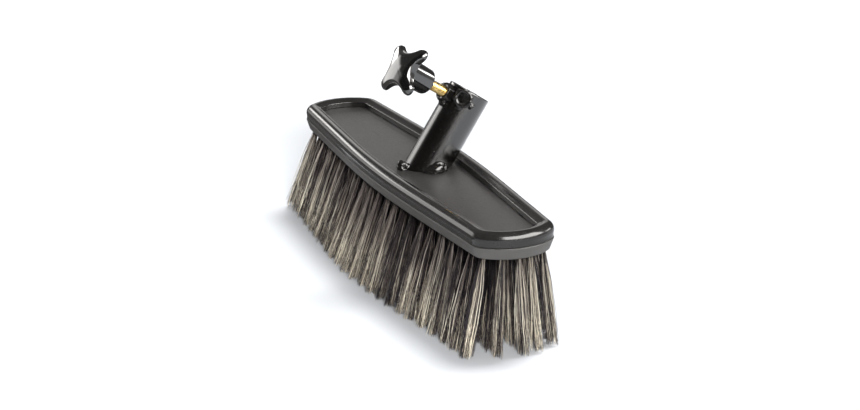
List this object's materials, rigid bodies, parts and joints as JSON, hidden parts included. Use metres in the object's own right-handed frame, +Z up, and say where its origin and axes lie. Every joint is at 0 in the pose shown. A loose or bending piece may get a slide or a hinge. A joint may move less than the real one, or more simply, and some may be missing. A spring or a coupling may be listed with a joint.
{
  "type": "push-on wash brush",
  "caption": "Elongated wash brush head with flared tufts, rubber bumper, leaning steel socket tube and a cross-grip clamp screw that holds it on a spray lance.",
  "frame": {"origin": "centre of the head in plan, in the plane of the bristle tips that the brush stands on", "axes": "+X along the head, towards the end nearer the camera in the picture; +Y to the side that the socket tube leans to; +Z up, from the bristle tips to the socket tube"},
  "size_m": [0.2904, 0.0842, 0.1333],
  "materials": {
    "block": "matt moulded plastic, dark grey",
    "bumper": "smooth black rubber with a soft gloss",
    "plate": "satin black paint on sheet steel",
    "tube": "satin black paint on steel",
    "weld": "glossy black paint over lumpy weld",
    "steel": "plain zinc-plated steel",
    "brass": "bright machined brass",
    "knob": "polished black thermoset plastic",
    "bristles": "natural hair, dark brown mixed with beige"
  },
  "bodies": {
    "head": {"brush_block": "block", "bumper_rim": "bumper", "back_plate": "plate", "plate_screw_1": "steel", "plate_screw_2": "steel", "plate_screw_3": "steel", "plate_screw_4": "steel", "plate_screw_5": "steel", "plate_screw_6": "steel", "socket_tube": "tube", "foot_weld_1": "weld", "foot_weld_2": "weld", "foot_weld_3": "weld", "screw_nut": "tube", "spare_nut": "tube", "screw_nut_weld_1": "weld", "screw_nut_weld_2": "weld", "spare_nut_weld_1": "weld", "spare_nut_weld_2": "weld", "tuft_row_1": "bristles", "tuft_row_2": "bristles", "tuft_row_3": "bristles", "tuft_row_4": "bristles", "tuft_row_5": "bristles"},
    "pad": {"pressure_pad": "brass"},
    "knob": {"clamp_screw": "brass", "clamp_knob": "knob"}
  },
  "joints": [
    {"name": "screw_feed", "type": "slide", "parent": "head", "child": "pad", "axis": [-0.1822, 0.8293, -0.5283], "range_m": [-0.002, 0.008]},
    {"name": "knob_turn", "type": "hinge", "parent": "pad", "child": "knob", "pos_m": [0, 0.02599, 0.0958], "axis": [-0.1822, 0.8293, -0.5283], "range_deg": [-720, 2880]}
  ],
  "couplings": [
    {"joint": "screw_feed", "follows": "knob_turn", "m_per_rad": 0.00015915}
  ]
}
